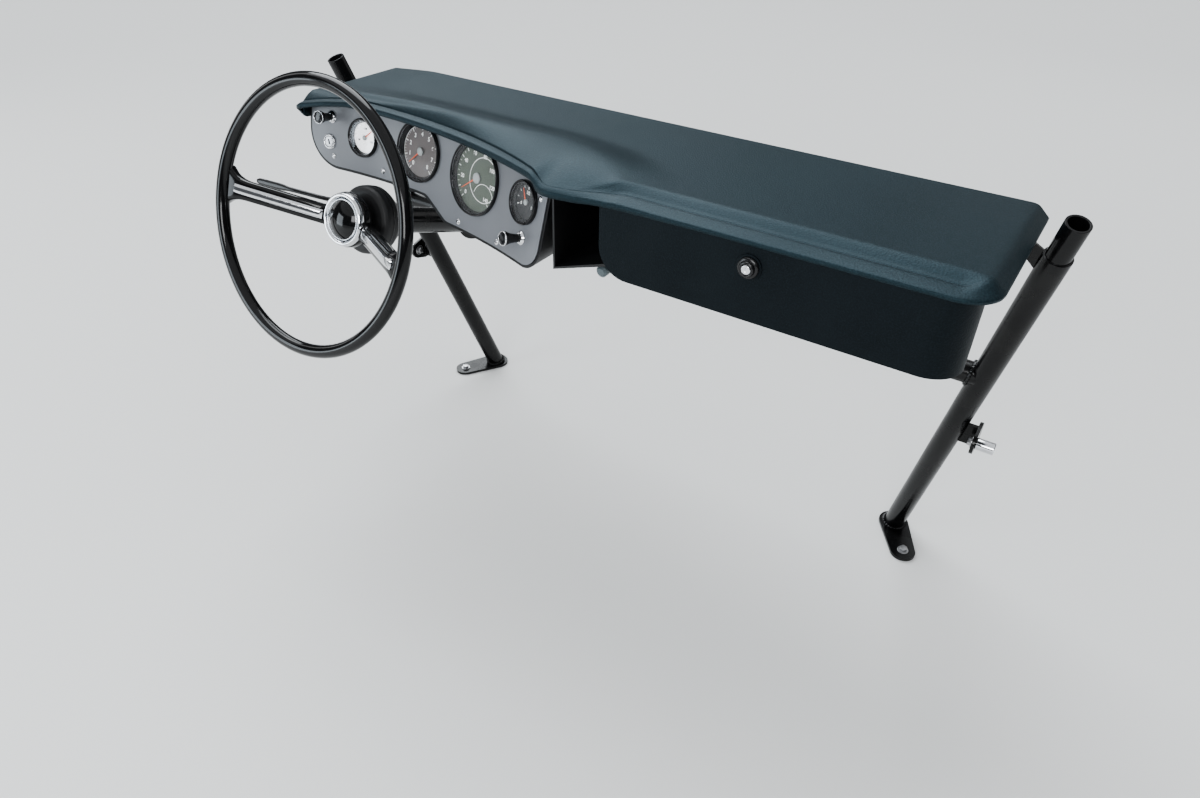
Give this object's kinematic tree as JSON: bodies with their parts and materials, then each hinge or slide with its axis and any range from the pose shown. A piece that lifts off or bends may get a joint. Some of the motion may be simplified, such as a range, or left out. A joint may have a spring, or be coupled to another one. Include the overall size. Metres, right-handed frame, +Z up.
{
  "type": "dashboard assembly with steering column",
  "caption": "Dashboard for an open sports buggy on a raked tubular hoop, with a two-spoke steering wheel, column, round instruments, open cubby and drop-down glovebox.",
  "frame": {"origin": "midway between the two foot bolt holes, on the face that the feet stand on", "axes": "+X to the right-hand side of the car, +Y forwards, +Z up"},
  "size_m": [1.1804, 0.6045, 0.742],
  "materials": {
    "grained_top": "fine grain",
    "moulded_black": "satin",
    "lid_black": "fine grain",
    "plate_grey": "satin",
    "knob_black": "gloss",
    "wheel_black": "high gloss",
    "frame_black": "gloss enamel",
    "bare_steel": "turned",
    "chrome": "polished",
    "lock_black": "satin",
    "bearing_bronze": "turned",
    "bush_rubber": "matt",
    "can_steel": "satin",
    "bezel_black": "semi-gloss",
    "pale_face": "matt",
    "brown_face": "matt",
    "ivory_face": "matt",
    "dark_face": "matt",
    "needle_orange": "matt",
    "lens": "clear"
  },
  "bodies": {
    "dash": {"dash_top": "grained_top", "dash_lip": "grained_top", "instrument_pod": "moulded_black", "cubby_tray": "moulded_black", "glovebox_bin": "moulded_black", "instrument_panel": "plate_grey", "cubby_knob": "knob_black", "switch_knobs": "knob_black", "indicator_stalk": "knob_black", "indicator_shroud": "moulded_black", "hinge_pin": "bare_steel", "switch_collars": "chrome", "ignition_lock": "chrome", "side_spacers": "chrome", "right_leg": "frame_black", "left_leg": "frame_black", "cross_tube": "frame_black", "right_foot": "frame_black", "left_foot": "frame_black", "right_tab": "frame_black", "left_tab": "frame_black", "dash_stays": "frame_black", "dash_brackets": "frame_black", "column_tube": "frame_black", "column_bearings": "bearing_bronze", "column_bush": "bush_rubber", "left_gauge_can": "can_steel", "left_gauge_bezel": "bezel_black", "left_gauge_dial": "pale_face", "left_gauge_needle": "needle_orange", "left_gauge_glass": "lens", "tachometer_can": "can_steel", "tachometer_bezel": "bezel_black", "tachometer_dial": "brown_face", "tachometer_needle": "needle_orange", "tachometer_glass": "lens", "speedometer_can": "can_steel", "speedometer_bezel": "bezel_black", "speedometer_dial": "ivory_face", "speedometer_needle": "needle_orange", "speedometer_glass": "lens", "right_gauge_can": "can_steel", "right_gauge_bezel": "bezel_black", "right_gauge_dial": "dark_face", "right_gauge_needle": "needle_orange", "right_gauge_glass": "lens"},
    "steering": {"steering_shaft": "bare_steel", "steering_wheel": "wheel_black", "spoke_bars": "chrome", "horn_ring": "chrome", "horn_button": "wheel_black"},
    "lid": {"glovebox_lid": "lid_black", "lid_lock": "lock_black", "lid_button": "chrome"}
  },
  "joints": [
    {"name": "steering_turn", "type": "hinge", "parent": "dash", "child": "steering", "pos_m": [-0.353, -0.442, 0.553], "axis": [0, 0.9422, -0.335], "range_deg": [-480, 480]},
    {"name": "lid_hinge", "type": "hinge", "parent": "dash", "child": "lid", "pos_m": [0.302, -0.34, 0.571], "axis": [1, 0, 0], "range_deg": [0, 75]}
  ]
}
